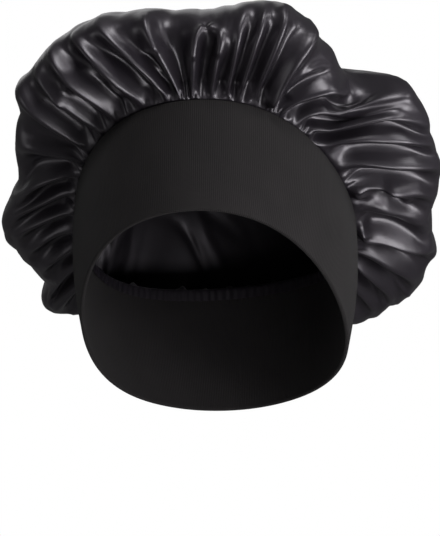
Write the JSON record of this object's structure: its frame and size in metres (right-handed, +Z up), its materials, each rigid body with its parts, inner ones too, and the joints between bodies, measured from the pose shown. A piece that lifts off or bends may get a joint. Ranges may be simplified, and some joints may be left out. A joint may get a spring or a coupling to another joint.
{
  "type": "sleep bonnet",
  "caption": "Round satin sleep bonnet in the shape it has on a head: a full gathered crown on a wide stretch-knit band, open below for the head.",
  "frame": {"origin": "the middle of the head opening, the rim of the band, where the bonnet sits on the head", "axes": "+Z up as worn, the forehead towards -Y, the wearer's left towards +X"},
  "size_m": [0.2657, 0.2582, 0.235],
  "materials": {
    "band_knit": "matt black fine-rib stretch knit, two layers folded at the rim",
    "crown_satin": "black polyester satin, glossy outside with a soft purplish grey sheen"
  },
  "bodies": {
    "root": {"knit_band": "band_knit", "satin_crown": "crown_satin"}
  },
  "joints": []
}
